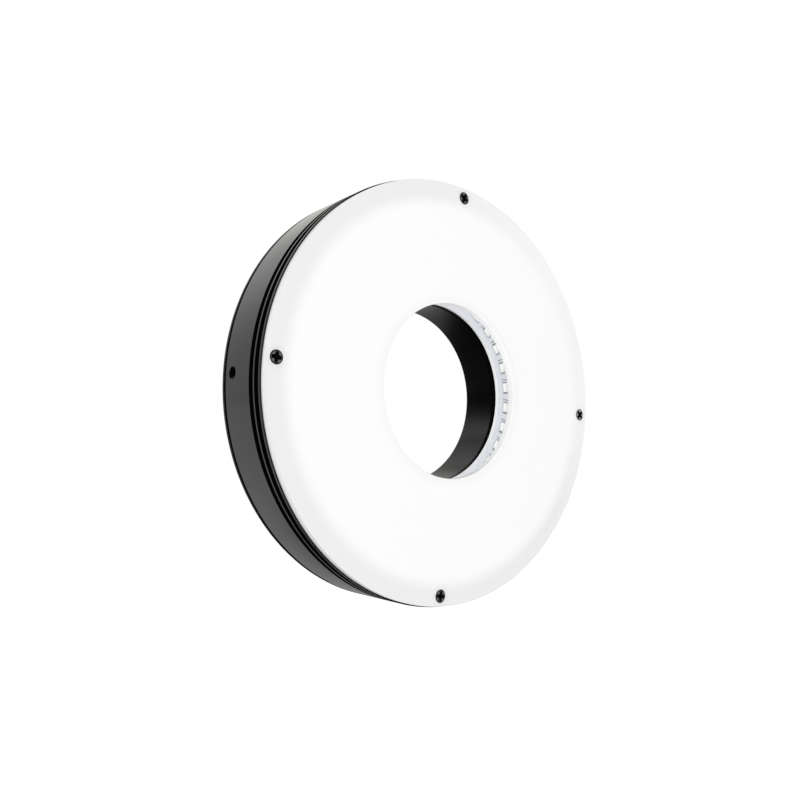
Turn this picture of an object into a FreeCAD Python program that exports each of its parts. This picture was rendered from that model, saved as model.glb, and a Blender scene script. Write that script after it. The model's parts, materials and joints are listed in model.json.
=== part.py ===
import FreeCAD, Part
import math
import os

# Machine vision ring light, in millimetres.
# The pieces are drawn with the optical axis on +Z: the rear mounting face is at z = 0
# and the light leaves towards +Z. The last step turns the whole light upright, so that
# in the part's own frame the front faces -Y, +Z is up and the origin stays at the
# centre of the rear mounting face. Angles are counted from +X, towards the top.

# Housing, turned from solid
housing_diameter = 150.0
housing_depth = 22.5
wall_thickness = 7.0
floor_thickness = 2.5
chamber_depth = 8.0
bore_diameter = 65.0
bore_wall = 3.5
bore_chamfer = 1.0
rim_chamfer = 0.4

# Cooling grooves, counted back from the front rim
groove_count = 2
groove_width = 2.5
groove_depth = 1.8
fin_thickness = 0.85
edge_chamfer = 0.15

# Rear cover
cover_thickness = 2.0
spigot_wall = 1.8
spigot_clearance = 0.05
cover_screw_count = 4
cover_screw_angle = 30.0

# Diffuser
diffuser_thickness = 2.5
diffuser_rim_step = 0.5
diffuser_hole_diameter = 62.0
diffuser_edge_chamfer = 0.2
diffuser_screw_count = 4
diffuser_screw_angle = -2.8
recess_angles = [48.0, 65.0, 86.0, 85.0]

# Light board and its pad
board_thickness = 1.2
board_overhang = 0.2
board_rim_gap = 0.4
board_screw_count = 4
board_screw_angle = 45.0
board_screw_edge_distance = 2.8
pad_thickness = 0.5
pad_margin = 3.0
pad_clearance = 0.3
pad_setback = 1.0

# Light packages, in rings
package_length = 3.5
package_width = 2.8
package_height = 0.7
window_margin = 0.45
window_thickness = 0.1
terminal_length = 0.6
terminal_width = 2.1
terminal_height = 0.3
ring_count = 4
first_ring_margin = 3.9
last_ring_margin = 7.5
first_ring_packages = 29
packages_added_per_ring = 6
package_angle = 8.0

# Countersunk screws, for the diffuser and the rear cover
screw_edge_distance = 4.0
countersunk_head_diameter = 4.7
countersunk_length = 7.0

# Pan head screws, for the two boards
pan_head_diameter = 4.6
pan_head_height = 1.5
board_screw_grip = 2.0
driver_screw_grip = 1.8

# What all screws share
thread_diameter = 2.5
thread_clearance = 0.05
head_clearance = 0.05
hole_clearance = 0.2
tapped_depth_spare = 1.0
screw_end_gap = 0.05
recess_width = 0.85
recess_length = 3.1
recess_depth = 0.6
cover_recess_angle = 30.0

# Threaded holes for a stranger's bracket
rear_mount_diameter = 3.3
rear_mount_depth = 6.0
rear_mount_cover_hole = 4.5
rear_mount_count = 4
rear_mount_angle = 60.0
side_mount_diameter = 2.5
side_mount_depth = 5.5
side_mount_chamfer = 0.95
side_mount_height = 6.8
side_mount_angles = [90.0, 180.0, 270.0]

# Driver board in the rear cavity
driver_thickness = 1.6
driver_tube_gap = 5.0
driver_wall_gap = 5.0
driver_span_angle = 120.0
driver_cover_gap = 5.9
spacer_flats = 5.0
spacer_edge_distance = 4.0
spacer_outer_angle = 52.0
spacer_inner_angle = 32.0

# Parts on the driver board
regulator_size = [4.0, 4.5, 1.5]
regulator_angles = [-42.0, -28.0, 28.0, 42.0]
resistor_size = [3.2, 1.6, 0.6]
resistor_edge_distance = 3.0
resistor_count = 10
resistor_step_angle = 5.0
diode_size = [2.7, 4.5, 2.3]
diode_edge_distance = 6.0
diode_angle = -20.0
capacitor_diameter = 6.3
capacitor_height = 4.9
capacitor_base_height = 0.9
capacitor_can_step = 0.05
capacitor_edge_distance = 6.0
capacitor_angle = 22.0
header_length = 6.0
header_width = 7.4
header_height = 4.4
header_wall = 0.7
header_edge_distance = 5.5
header_pin_size = 0.64
header_pin_pitch = 2.5
header_pin_length = 3.6

# Link leads from board to board
lead_pitch = 2.5
lead_ring_steps = 1.5
lead_diameter = 1.3
lead_wire_diameter = 0.6
lead_end_length = 0.5
lead_hole_clearance = 0.05
bush_diameter = 5.6
bush_wall = 0.6
bush_flange_diameter = 7.2
bush_flange_thickness = 0.8
bush_clearance = 0.05

# Cord gland, on the side opposite the middle side mount
gland_height = 8.2
gland_thread_diameter = 8.0
gland_bore_diameter = 5.2
gland_collar_diameter = 10.6
gland_collar_length = 2.0
gland_neck_diameter = 7.2
gland_neck_length = 4.0
gland_cap_flats = 10.0
gland_cap_length = 7.6
gland_cap_gap = 0.3
gland_cap_mouth = 1.0
gland_cap_chamfer = 1.2
spot_face_depth = 0.5
spot_face_clearance = 0.2
gland_clearance = 0.1

# How far the cutting tools reach past the surfaces that they open
overrun = 1.0

# Radii and heights worked out from the sizes above
housing_radius = housing_diameter / 2.0
cavity_radius = housing_radius - wall_thickness
bore_radius = bore_diameter / 2.0
tube_radius = bore_radius + bore_wall
spigot_radius = bore_radius + spigot_wall
groove_radius = housing_radius - groove_depth
rim_height = cover_thickness + housing_depth
seat_height = rim_height - chamber_depth
floor_height = seat_height - pad_thickness
floor_rear_height = floor_height - floor_thickness
board_front_height = seat_height + board_thickness
front_height = rim_height + diffuser_thickness
diffuser_radius = housing_radius - diffuser_rim_step
board_inner_radius = bore_radius - board_overhang
board_outer_radius = cavity_radius - board_rim_gap
pad_inner_radius = bore_radius + bore_chamfer + pad_setback
screw_circle_radius = housing_radius - screw_edge_distance
thread_radius = thread_diameter / 2.0
board_screw_radius = board_outer_radius - board_screw_edge_distance
pad_outer_radius = board_screw_radius - pad_margin
first_ring_radius = bore_radius + first_ring_margin
ring_pitch = (cavity_radius - last_ring_margin - first_ring_radius) / (ring_count - 1)
driver_rear_height = cover_thickness + driver_cover_gap
driver_front_height = driver_rear_height + driver_thickness
spacer_length = floor_rear_height - driver_front_height
driver_inner_radius = tube_radius + driver_tube_gap
driver_outer_radius = cavity_radius - driver_wall_gap
regulator_radius = (driver_inner_radius + driver_outer_radius) / 2.0
header_radius = driver_outer_radius - header_edge_distance
lead_radius = first_ring_radius + lead_ring_steps * ring_pitch
spot_face_radius = housing_radius - spot_face_depth

X_AXIS = FreeCAD.Vector(1, 0, 0)
Z_AXIS = FreeCAD.Vector(0, 0, 1)
ORIGIN = FreeCAD.Vector(0, 0, 0)


def vec(x, y, z):
    return FreeCAD.Vector(x, y, z)


def turned(points):
    """Solid of revolution about the optical axis, from (radius, height) corners."""
    corners = [vec(r, 0, z) for r, z in points]
    outline = Part.makePolygon(corners + corners[:1])
    return Part.Face(outline).revolve(ORIGIN, Z_AXIS, 360)


def washer(inner_radius, outer_radius, low, high):
    return turned([(inner_radius, low), (outer_radius, low),
                   (outer_radius, high), (inner_radius, high)])


def drill(radius, low, high):
    """Cylinder along the optical axis, standing at the centre."""
    return Part.makeCylinder(radius, high - low, vec(0, 0, low))


def at(shape, radius, angle):
    """Copy of a shape, moved out to a radius and turned about the optical axis."""
    moved = shape.copy()
    moved.translate(vec(radius, 0, 0))
    moved.rotate(ORIGIN, Z_AXIS, angle)
    return moved


def around(shape, radius, count, turn):
    return [at(shape, radius, turn + i * 360.0 / count) for i in range(count)]


def hexagon(flats, low, high):
    """Six-sided bar along the optical axis."""
    corner_radius = flats / 2.0 / math.cos(math.pi / 6.0)
    corners = [vec(corner_radius * math.cos(i * math.pi / 3.0),
                   corner_radius * math.sin(i * math.pi / 3.0), low) for i in range(6)]
    return Part.Face(Part.makePolygon(corners + corners[:1])).extrude(vec(0, 0, high - low))


def block(size_x, size_y, low, high):
    """Box centred on the axis, from one height to another."""
    return Part.makeBox(size_x, size_y, high - low, vec(-size_x / 2.0, -size_y / 2.0, low))


def radial(shape, angle, height):
    """Shape drawn along +Z from the centre, laid down to point outwards."""
    laid = shape.copy()
    laid.rotate(ORIGIN, vec(0, 1, 0), 90)
    laid.rotate(ORIGIN, Z_AXIS, angle)
    laid.translate(vec(0, 0, height))
    return laid


def export(name, solids):
    """Turn the pieces upright and write them as one node."""
    shape = solids[0] if len(solids) == 1 else Part.makeCompound(solids)
    upright = shape.copy()
    upright.rotate(ORIGIN, X_AXIS, 90)
    upright.exportStep("parts/" + name + ".step")


# Screws and their holes
def cross_recess(top, turn):
    slot = block(recess_length, recess_width, top - recess_depth, top + overrun)
    other = block(recess_width, recess_length, top - recess_depth, top + overrun)
    cross = slot.fuse(other)
    cross.rotate(ORIGIN, Z_AXIS, turn)
    return cross


def countersunk_screw(turn):
    """Screw with the top of its head at height 0; the shank points down."""
    head_radius = countersunk_head_diameter / 2.0
    body = turned([(0, 0), (0, -countersunk_length), (thread_radius, -countersunk_length),
                   (thread_radius, thread_radius - head_radius), (head_radius, 0)])
    return body.cut(cross_recess(0.0, turn))


def countersunk_hole(plate_thickness):
    """Cutting tool for a plate whose face is at height 0."""
    head_radius = countersunk_head_diameter / 2.0 + head_clearance
    clear_radius = thread_radius + hole_clearance
    low = -plate_thickness - overrun
    return turned([(0, overrun), (0, low), (clear_radius, low),
                   (clear_radius, clear_radius - head_radius), (head_radius, 0),
                   (head_radius, overrun)])


def pan_head_screw(shank_length):
    """Head below height 0 upwards; the shank points down."""
    return turned([(0, -shank_length), (thread_radius, -shank_length), (thread_radius, 0),
                   (pan_head_diameter / 2.0, 0), (pan_head_diameter / 2.0, pan_head_height),
                   (0, pan_head_height)])


def lifted(shape, height):
    moved = shape.copy()
    moved.translate(vec(0, 0, height))
    return moved


def flipped(shape):
    """Shape turned over, so that what pointed to the front points to the rear."""
    turned_over = shape.copy()
    turned_over.rotate(ORIGIN, X_AXIS, 180)
    return turned_over


# Housing
def housing_outline():
    """Half section of the turned body, as (radius, height) corners."""
    outer = [(housing_radius - rim_chamfer, cover_thickness),
             (housing_radius, cover_thickness + rim_chamfer)]
    first_groove = rim_height - groove_count * (fin_thickness + groove_width)
    outer += [(housing_radius, first_groove - edge_chamfer),
              (housing_radius - edge_chamfer, first_groove)]
    for i in range(groove_count):
        low = first_groove + i * (fin_thickness + groove_width)
        high = low + groove_width
        outer += [(groove_radius, low), (groove_radius, high), (housing_radius, high)]
        if i < groove_count - 1:
            outer += [(housing_radius, high + fin_thickness)]
    outer += [(housing_radius, rim_height - edge_chamfer), (housing_radius - edge_chamfer, rim_height)]
    pad_wall = pad_outer_radius + pad_clearance
    chamber = [(cavity_radius, rim_height), (cavity_radius, seat_height), (pad_wall, seat_height),
               (pad_wall, floor_height)]
    bore = [(bore_radius + bore_chamfer, floor_height), (bore_radius, floor_height - bore_chamfer),
            (bore_radius, 0)]
    rear = [(spigot_radius, 0), (spigot_radius, cover_thickness), (tube_radius, cover_thickness),
            (tube_radius, floor_rear_height), (cavity_radius, floor_rear_height),
            (cavity_radius, cover_thickness)]
    return outer + chamber + bore + rear


def side_mount_hole():
    """Tapped blind hole with a countersink, drilled from outside the wall."""
    radius = side_mount_diameter / 2.0
    mouth = housing_radius + overrun
    return turned([(0, housing_radius - side_mount_depth), (radius, housing_radius - side_mount_depth),
                   (radius, housing_radius - side_mount_chamfer),
                   (radius + side_mount_chamfer, housing_radius),
                   (radius + side_mount_chamfer, mouth), (0, mouth)])


def gland_seat():
    """Hole for the gland's thread, with a flat spot face for its collar."""
    thread = gland_thread_diameter / 2.0 + gland_clearance
    face = gland_collar_diameter / 2.0 + spot_face_clearance
    mouth = housing_radius + overrun
    start = cavity_radius - overrun
    return turned([(0, start), (thread, start), (thread, spot_face_radius),
                   (face, spot_face_radius), (face, mouth), (0, mouth)])


def housing():
    body = turned(housing_outline())
    tapped_radius = thread_radius + thread_clearance
    diffuser_reach = countersunk_length - diffuser_thickness + tapped_depth_spare
    cover_reach = countersunk_length - cover_thickness + tapped_depth_spare
    cuts = []
    cuts += around(drill(tapped_radius, rim_height - diffuser_reach, rim_height + overrun),
                   screw_circle_radius, diffuser_screw_count, diffuser_screw_angle)
    cuts += around(drill(tapped_radius, cover_thickness - overrun, cover_thickness + cover_reach),
                   screw_circle_radius, cover_screw_count, cover_screw_angle)
    cuts += around(drill(rear_mount_diameter / 2.0, cover_thickness - overrun,
                         cover_thickness + rear_mount_depth),
                   screw_circle_radius, rear_mount_count, rear_mount_angle)
    cuts += around(drill(tapped_radius, floor_rear_height - overrun, seat_height + overrun),
                   board_screw_radius, board_screw_count, board_screw_angle)
    cuts += [at(drill(tapped_radius, floor_rear_height - overrun, floor_rear_height + driver_screw_grip),
                radius, angle) for radius, angle in spacer_places()]
    cuts += [at(drill(bush_diameter / 2.0 + bush_clearance, floor_rear_height - overrun,
                      seat_height + overrun), lead_radius, 0.0)]
    cuts += [radial(side_mount_hole(), angle, side_mount_height) for angle in side_mount_angles]
    cuts += [radial(gland_seat(), 0.0, gland_height)]
    return body.cut(Part.makeCompound(cuts)).Solids[0]


# Rear cover
def rear_cover():
    edge = rim_chamfer
    plate = turned([(spigot_radius + spigot_clearance, 0), (housing_radius - edge, 0),
                    (housing_radius, edge), (housing_radius, cover_thickness - edge),
                    (housing_radius - edge, cover_thickness),
                    (spigot_radius + spigot_clearance, cover_thickness)])
    sink = flipped(countersunk_hole(cover_thickness))
    cuts = around(sink, screw_circle_radius, cover_screw_count, cover_screw_angle)
    cuts += around(drill(rear_mount_cover_hole / 2.0, -overrun, cover_thickness + overrun),
                   screw_circle_radius, rear_mount_count, rear_mount_angle)
    return plate.cut(Part.makeCompound(cuts))


def rear_cover_screws():
    return around(flipped(countersunk_screw(cover_recess_angle)), screw_circle_radius, cover_screw_count,
                  cover_screw_angle)


# Diffuser
def diffuser_plate():
    hole_radius = diffuser_hole_diameter / 2.0
    edge = diffuser_edge_chamfer
    plate = turned([(hole_radius, rim_height), (diffuser_radius, rim_height),
                    (diffuser_radius, front_height - edge), (diffuser_radius - edge, front_height),
                    (hole_radius + edge, front_height), (hole_radius, front_height - edge)])
    sink = lifted(countersunk_hole(diffuser_thickness), front_height)
    cuts = around(sink, screw_circle_radius, diffuser_screw_count, diffuser_screw_angle)
    return plate.cut(Part.makeCompound(cuts))


def diffuser_screws():
    step = 360.0 / diffuser_screw_count
    screws = []
    for i in range(diffuser_screw_count):
        screw = lifted(countersunk_screw(recess_angles[i % len(recess_angles)]), front_height)
        screws.append(at(screw, screw_circle_radius, diffuser_screw_angle + i * step))
    return screws


# Light board, pad and screws
def led_board():
    plate = washer(board_inner_radius, board_outer_radius, seat_height, board_front_height)
    screw_hole = drill(thread_radius + hole_clearance, seat_height - overrun, board_front_height + overrun)
    cuts = around(screw_hole, board_screw_radius, board_screw_count, board_screw_angle)
    cuts += lead_wires(lead_wire_diameter / 2.0 + lead_hole_clearance, seat_height - overrun,
                       board_front_height + overrun)
    return plate.cut(Part.makeCompound(cuts))


def thermal_pad():
    sheet = washer(pad_inner_radius, pad_outer_radius, floor_height, seat_height)
    low = floor_height - overrun
    high = seat_height + overrun
    return sheet.cut(at(drill(bush_diameter / 2.0 + hole_clearance, low, high), lead_radius, 0.0))


def led_board_screws():
    shank = board_thickness + board_screw_grip
    screw = lifted(pan_head_screw(shank), board_front_height)
    return around(screw, board_screw_radius, board_screw_count, board_screw_angle)


# Light packages
def ring_radius(ring):
    return first_ring_radius + ring * ring_pitch


def ring_packages(ring):
    return first_ring_packages + ring * packages_added_per_ring


def package_bodies(ring, height):
    body = block(package_width, package_length, board_front_height, board_front_height + height)
    return around(body, ring_radius(ring), ring_packages(ring), package_angle)


def package_windows(ring):
    low = board_front_height + package_height
    window = block(package_width - 2.0 * window_margin, package_length - 2.0 * window_margin,
                   low, low + window_thickness)
    return around(window, ring_radius(ring), ring_packages(ring), package_angle)


def package_terminals(ring):
    pairs = []
    for side in (-1, 1):
        bar = block(terminal_width, terminal_length, board_front_height,
                    board_front_height + terminal_height)
        bar.translate(vec(0, side * (package_length + terminal_length) / 2.0, 0))
        pairs += around(bar, ring_radius(ring), ring_packages(ring), package_angle)
    return pairs


# Driver board
def spacer_places():
    """Radius and angle of each spacer of the driver board."""
    places = []
    for side in (-1, 1):
        places.append((driver_outer_radius - spacer_edge_distance, side * spacer_outer_angle))
        places.append((driver_inner_radius + spacer_edge_distance, side * spacer_inner_angle))
    return places


def sector(inner_radius, outer_radius, low, high, span):
    """Part of a ring, centred on +X."""
    half = math.radians(span / 2.0)
    corners = []
    for radius, angle in ((inner_radius, -half), (outer_radius, -half),
                          (outer_radius, half), (inner_radius, half)):
        corners.append(vec(radius * math.cos(angle), radius * math.sin(angle), low))
    edges = [Part.makeLine(corners[0], corners[1]),
             Part.Arc(corners[1], vec(outer_radius, 0, low), corners[2]).toShape(),
             Part.makeLine(corners[2], corners[3]),
             Part.Arc(corners[3], vec(inner_radius, 0, low), corners[0]).toShape()]
    return Part.Face(Part.Wire(edges)).extrude(vec(0, 0, high - low))


def driver_board():
    plate = sector(driver_inner_radius, driver_outer_radius, driver_rear_height,
                   driver_front_height, driver_span_angle)
    screw_hole = drill(thread_radius + hole_clearance, driver_rear_height - overrun,
                       driver_front_height + overrun)
    cuts = [at(screw_hole, radius, angle) for radius, angle in spacer_places()]
    cuts += lead_wires(lead_wire_diameter / 2.0 + lead_hole_clearance, driver_rear_height - overrun,
                       driver_front_height + overrun)
    return plate.cut(Part.makeCompound(cuts))


def driver_spacers():
    bar = hexagon(spacer_flats, driver_front_height, floor_rear_height)
    spacer = bar.cut(drill(thread_radius + hole_clearance, driver_front_height - overrun,
                           floor_rear_height + overrun))
    return [at(spacer, radius, angle) for radius, angle in spacer_places()]


def driver_screws():
    shank = driver_thickness + spacer_length + driver_screw_grip - screw_end_gap
    screw = lifted(flipped(pan_head_screw(shank)), driver_rear_height)
    return [at(screw, radius, angle) for radius, angle in spacer_places()]


def on_driver_board(size, radius, angle):
    """Block mounted on the rear face of the driver board."""
    return at(block(size[0], size[1], driver_rear_height - size[2], driver_rear_height), radius, angle)


def filter_capacitor():
    base_low = driver_rear_height - capacitor_base_height
    base = block(capacitor_diameter, capacitor_diameter, base_low, driver_rear_height)
    can = drill(capacitor_diameter / 2.0 - capacitor_can_step, driver_rear_height - capacitor_height,
                base_low)
    return at(base.fuse(can), driver_outer_radius - capacitor_edge_distance, capacitor_angle)


def input_header():
    """Open-fronted plug shell that faces the gland."""
    low = driver_rear_height - header_height
    shell = block(header_length, header_width, low, driver_rear_height)
    inside = Part.makeBox(header_length, header_width - 2.0 * header_wall,
                          header_height - 2.0 * header_wall,
                          vec(-header_length / 2.0 + header_wall, header_wall - header_width / 2.0,
                              low + header_wall))
    return at(shell.cut(inside), header_radius, 0.0)


def header_pins():
    middle = driver_rear_height - header_height / 2.0
    pins = []
    for side in (-1, 1):
        pin = Part.makeBox(header_pin_length, header_pin_size, header_pin_size,
                           vec(header_wall - header_length / 2.0,
                               side * header_pin_pitch / 2.0 - header_pin_size / 2.0,
                               middle - header_pin_size / 2.0))
        pins.append(at(pin, header_radius, 0.0))
    return pins


# Link leads
def lead_wires(radius, low, high):
    wires = []
    for side in (-1, 1):
        wire = drill(radius, low, high)
        wire.translate(vec(lead_radius, side * lead_pitch / 2.0, 0))
        wires.append(wire)
    return wires


def link_lead(side):
    """Sleeved lead with bare ends that pass through both boards."""
    sleeve = drill(lead_diameter / 2.0, driver_front_height, seat_height)
    wire = drill(lead_wire_diameter / 2.0, driver_rear_height - lead_end_length,
                 board_front_height + lead_end_length)
    lead = sleeve.fuse(wire)
    lead.translate(vec(lead_radius, side * lead_pitch / 2.0, 0))
    return lead


def lead_bush():
    radius = bush_diameter / 2.0
    inner = radius - bush_wall
    flange_rear = floor_rear_height - bush_flange_thickness
    bush = turned([(inner, flange_rear), (bush_flange_diameter / 2.0, flange_rear),
                   (bush_flange_diameter / 2.0, floor_rear_height), (radius, floor_rear_height),
                   (radius, seat_height), (inner, seat_height)])
    return at(bush, lead_radius, 0.0)


# Cord gland, drawn along the radius
def gland_body():
    collar_end = spot_face_radius + gland_collar_length
    neck_end = collar_end + gland_neck_length
    body = turned([(gland_bore_diameter / 2.0, cavity_radius),
                   (gland_thread_diameter / 2.0, cavity_radius),
                   (gland_thread_diameter / 2.0, spot_face_radius),
                   (gland_collar_diameter / 2.0, spot_face_radius),
                   (gland_collar_diameter / 2.0, collar_end), (gland_neck_diameter / 2.0, collar_end),
                   (gland_neck_diameter / 2.0, neck_end), (gland_bore_diameter / 2.0, neck_end)])
    return radial(body, 0.0, gland_height)


def gland_cap():
    low = spot_face_radius + gland_collar_length + gland_cap_gap
    high = low + gland_cap_length
    corner_radius = gland_cap_flats / 2.0 / math.cos(math.pi / 6.0)
    dome = turned([(0, low), (corner_radius, low), (corner_radius, high - gland_cap_chamfer),
                   (corner_radius - gland_cap_chamfer, high), (0, high)])
    inside = turned([(0, low - overrun), (gland_neck_diameter / 2.0 + gland_clearance, low - overrun),
                     (gland_neck_diameter / 2.0 + gland_clearance, high - gland_cap_mouth),
                     (gland_bore_diameter / 2.0, high - gland_cap_mouth),
                     (gland_bore_diameter / 2.0, high + overrun), (0, high + overrun)])
    return radial(hexagon(gland_cap_flats, low, high).common(dome).cut(inside), 0.0, gland_height)


def gland_seal():
    low = spot_face_radius + gland_collar_length + gland_neck_length
    high = spot_face_radius + gland_collar_length + gland_cap_gap + gland_cap_length - gland_cap_mouth
    ring = washer(gland_bore_diameter / 2.0, gland_neck_diameter / 2.0, low, high)
    return radial(ring, 0.0, gland_height)


os.makedirs("parts", exist_ok=True)
export("housing", [housing()])
export("rear_cover", [rear_cover()])
export("rear_cover_screws", rear_cover_screws())
export("diffuser_plate", [diffuser_plate()])
export("diffuser_screws", diffuser_screws())
export("led_board", [led_board()])
export("thermal_pad", [thermal_pad()])
export("led_board_screws", led_board_screws())
export("led_ring_1", package_bodies(0, package_height))
export("led_windows_1", package_windows(0))
export("led_terminals_1", package_terminals(0))
for ring in range(1, ring_count):
    export("led_ring_" + str(ring + 1), package_bodies(ring, package_height + window_thickness))
export("driver_board", [driver_board()])
export("driver_spacers", driver_spacers())
export("driver_screws", driver_screws())
export("current_regulators", [on_driver_board(regulator_size, regulator_radius, angle)
                              for angle in regulator_angles])
export("chip_resistors", [on_driver_board(resistor_size, driver_inner_radius + resistor_edge_distance,
                                          resistor_step_angle * (i - (resistor_count - 1) / 2.0))
                          for i in range(resistor_count)])
export("protection_diode", [on_driver_board(diode_size, driver_outer_radius - diode_edge_distance,
                                            diode_angle)])
export("filter_capacitor", [filter_capacitor()])
export("input_header", [input_header()])
export("header_pins", header_pins())
export("lead_positive", [link_lead(1)])
export("lead_negative", [link_lead(-1)])
export("lead_bush", [lead_bush()])
export("gland_body", [gland_body()])
export("gland_cap", [gland_cap()])
export("gland_seal", [gland_seal()])
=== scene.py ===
import json
import math

import bmesh
import bpy
from mathutils import Matrix, Vector


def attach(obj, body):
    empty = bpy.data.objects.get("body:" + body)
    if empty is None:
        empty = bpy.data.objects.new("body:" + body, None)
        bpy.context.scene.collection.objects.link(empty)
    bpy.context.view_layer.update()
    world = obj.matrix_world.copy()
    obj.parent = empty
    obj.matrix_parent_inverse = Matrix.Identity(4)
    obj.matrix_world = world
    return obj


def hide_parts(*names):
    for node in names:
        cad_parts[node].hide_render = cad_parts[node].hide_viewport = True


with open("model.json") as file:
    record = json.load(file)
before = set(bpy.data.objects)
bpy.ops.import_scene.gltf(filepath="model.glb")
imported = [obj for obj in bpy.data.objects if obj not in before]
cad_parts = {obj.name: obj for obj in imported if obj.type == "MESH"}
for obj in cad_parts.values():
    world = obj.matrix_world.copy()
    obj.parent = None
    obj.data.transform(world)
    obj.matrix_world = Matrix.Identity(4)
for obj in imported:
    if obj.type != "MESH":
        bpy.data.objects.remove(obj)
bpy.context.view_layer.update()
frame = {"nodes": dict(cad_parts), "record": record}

# Machine vision ring light. Pieces are drawn in millimetres with the optical axis on +Z and the
# rear mounting face at height 0, then turned upright: the front faces -Y and +Z is up.
MM = 0.001
UPRIGHT = Matrix.Rotation(math.radians(90.0), 4, "X")
FLIPPED = Matrix.Rotation(math.pi, 4, "X")
NODES = frame["nodes"]

# How finely meshes are made, and from which angle on an edge is shaded as sharp
SMOOTH_ANGLE = math.radians(32.0)
TURN_STEPS = 240
SMALL_TURN_STEPS = 48
GLAND_TURN_STEPS = 96
WIRE_TURN_STEPS = 16
ROUNDING_CUTS = 3
FINE_ROUNDING_CUTS = 4
BLOCK_CUTS = 2
# A side longer than this many roundings gets a guard point, this many roundings from its corner
LONG_SIDE = 4.5
GUARD = 1.5
# Points closer than these are one point: in a turned outline, and after a cut
SAME_POINT = 1e-5
SAME_CUT_POINT = 1e-4

# How far the cutting tools reach past the surfaces that they open
OVERRUN = 1.0

# Housing
HOUSING_RADIUS = 75.0
CAVITY_RADIUS = 68.0
BORE_RADIUS = 32.5
TUBE_RADIUS = 36.0
SPIGOT_RADIUS = 34.3
GROOVE_RADIUS = 73.2
PAD_RADIUS = 62.1
COVER_HEIGHT = 2.0
FLOOR_REAR_HEIGHT = 13.5
FLOOR_HEIGHT = 16.0
SEAT_HEIGHT = 16.5
RIM_HEIGHT = 24.5
GROOVES = ((17.8, 20.3), (21.15, 23.65))
FIN_ROUNDING = 0.06
BORE_CHAMFER = 1.2
BORE_CHAMFER_ROUNDING = 0.35
BORE_RIM_ROUNDING = 0.08
BORE_REAR_ROUNDING = 0.25
SPIGOT_ROUNDING = 0.1
REAR_CHAMFER = 0.4
REAR_CHAMFER_ROUNDINGS = (0.06, 0.1)

# Rear cover
COVER_GAP = 0.05
COVER_REAR_EDGE = 0.12
COVER_SEAM_CHAMFER = 0.8
COVER_EDGE_ROUNDING = 0.05
COVER_BORE_ROUNDING = 0.15
COVER_SEAM_ROUNDINGS = (0.12, 0.06)

# Diffuser
FRONT_HEIGHT = 27.0
DIFFUSER_RADIUS = 74.5
DIFFUSER_HOLE_RADIUS = 31.0
DIFFUSER_REAR_ROUNDING = 0.1
DIFFUSER_RIM_ROUNDING = 0.15
DIFFUSER_HOLE_ROUNDING = 0.22

# Light board
BOARD_FRONT_HEIGHT = 17.7
BOARD_INNER_RADIUS = 32.3
BOARD_OUTER_RADIUS = 67.6
BOARD_SCREW_RADIUS = 64.8
BOARD_REAR_ROUNDING = 0.08
BOARD_FRONT_ROUNDING = 0.12
RING_RADIUS = 36.4
RING_PACKAGES = 29
PACKAGE_ANGLE = 8.0
PACKAGE_SIZE = (2.8, 3.5, 0.7)
WINDOW_SIZE = (1.9, 2.6, 0.1)
TERMINAL_SIZE = (2.1, 0.6, 0.3)
MARK_SIZE = (3.1, 0.4, 0.03)
MARK_RADIUS = 36.6
MARK_OFFSET = 3.15
PACKAGE_ROUNDING = 0.12
WINDOW_ROUNDING = 0.04
TERMINAL_ROUNDING = 0.1
MARK_ROUNDING = 0.01

# Screws and threaded holes
SCREW_CIRCLE = 71.0
HEAD_RADIUS = 2.35
THREAD_RADIUS = 1.25
# Tapped holes behind screws and spacers are plain, without ridges
TAPPED_RADIUS = 1.3
FRONT_TAPPED_DEPTH = 5.5
REAR_TAPPED_DEPTH = 6.0
SPACER_TAPPED_DEPTH = 1.8
# Share of a thread's pitch that is flat before each ridge and behind it
RIDGE_FOOT = 0.1
SCREW_CLEARANCE = 0.2
HEAD_CLEARANCE = 0.05
SCREW_LENGTH = 7.0
SCREW_END_ROUNDING = 0.2
SCREW_NECK_ROUNDING = 0.1
# The flat of the head ends in a narrow slope
HEAD_SLOPE_WIDTH = 0.55
HEAD_SLOPE_DROP = 0.2
HEAD_ROUNDING = 0.05
# Height, reach of the arms, half their width and the fillet between them
RECESS_LEVELS = ((0.5, 1.9, 0.64, 0.4), (0.0, 1.8, 0.6, 0.38), (-0.5, 1.55, 0.52, 0.3),
                 (-0.9, 1.1, 0.42, 0.2), (-1.25, 0.62, 0.3, 0.08))
ARM_CHAMFER = 0.12
# Angle on the screw circle, and how far the cross is turned
DIFFUSER_SCREWS = ((-2.8, 48.0), (87.2, 65.0), (177.2, 86.0), (267.2, 85.0))
DIFFUSER_SCREW_ANGLES = [angle for angle, _ in DIFFUSER_SCREWS]
COVER_SCREW_ANGLES = (30.0, 120.0, 210.0, 300.0)
COVER_RECESS_ANGLE = 30.0
REAR_MOUNT_ANGLES = (60.0, 150.0, 240.0, 330.0)
REAR_MOUNT_RADIUS = 1.65
REAR_MOUNT_DEPTH = 6.0
REAR_MOUNT_THREAD_DEPTH = 0.3
REAR_MOUNT_PITCH = 0.7
REAR_MOUNT_COVER_RADIUS = 2.25
SIDE_MOUNT_ANGLES = (90.0, 180.0, 270.0)
SIDE_MOUNT_RADIUS = 1.25
SIDE_MOUNT_DEPTH = 5.5
SIDE_MOUNT_THREAD_DEPTH = 0.22
SIDE_MOUNT_PITCH = 0.5
SIDE_MOUNT_CHAMFER = 0.95
SINK_OVERLAP = 0.01
SIDE_MOUNT_HEIGHT = 6.8
BOARD_SCREW_ANGLES = (45.0, 135.0, 225.0, 315.0)
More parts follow.
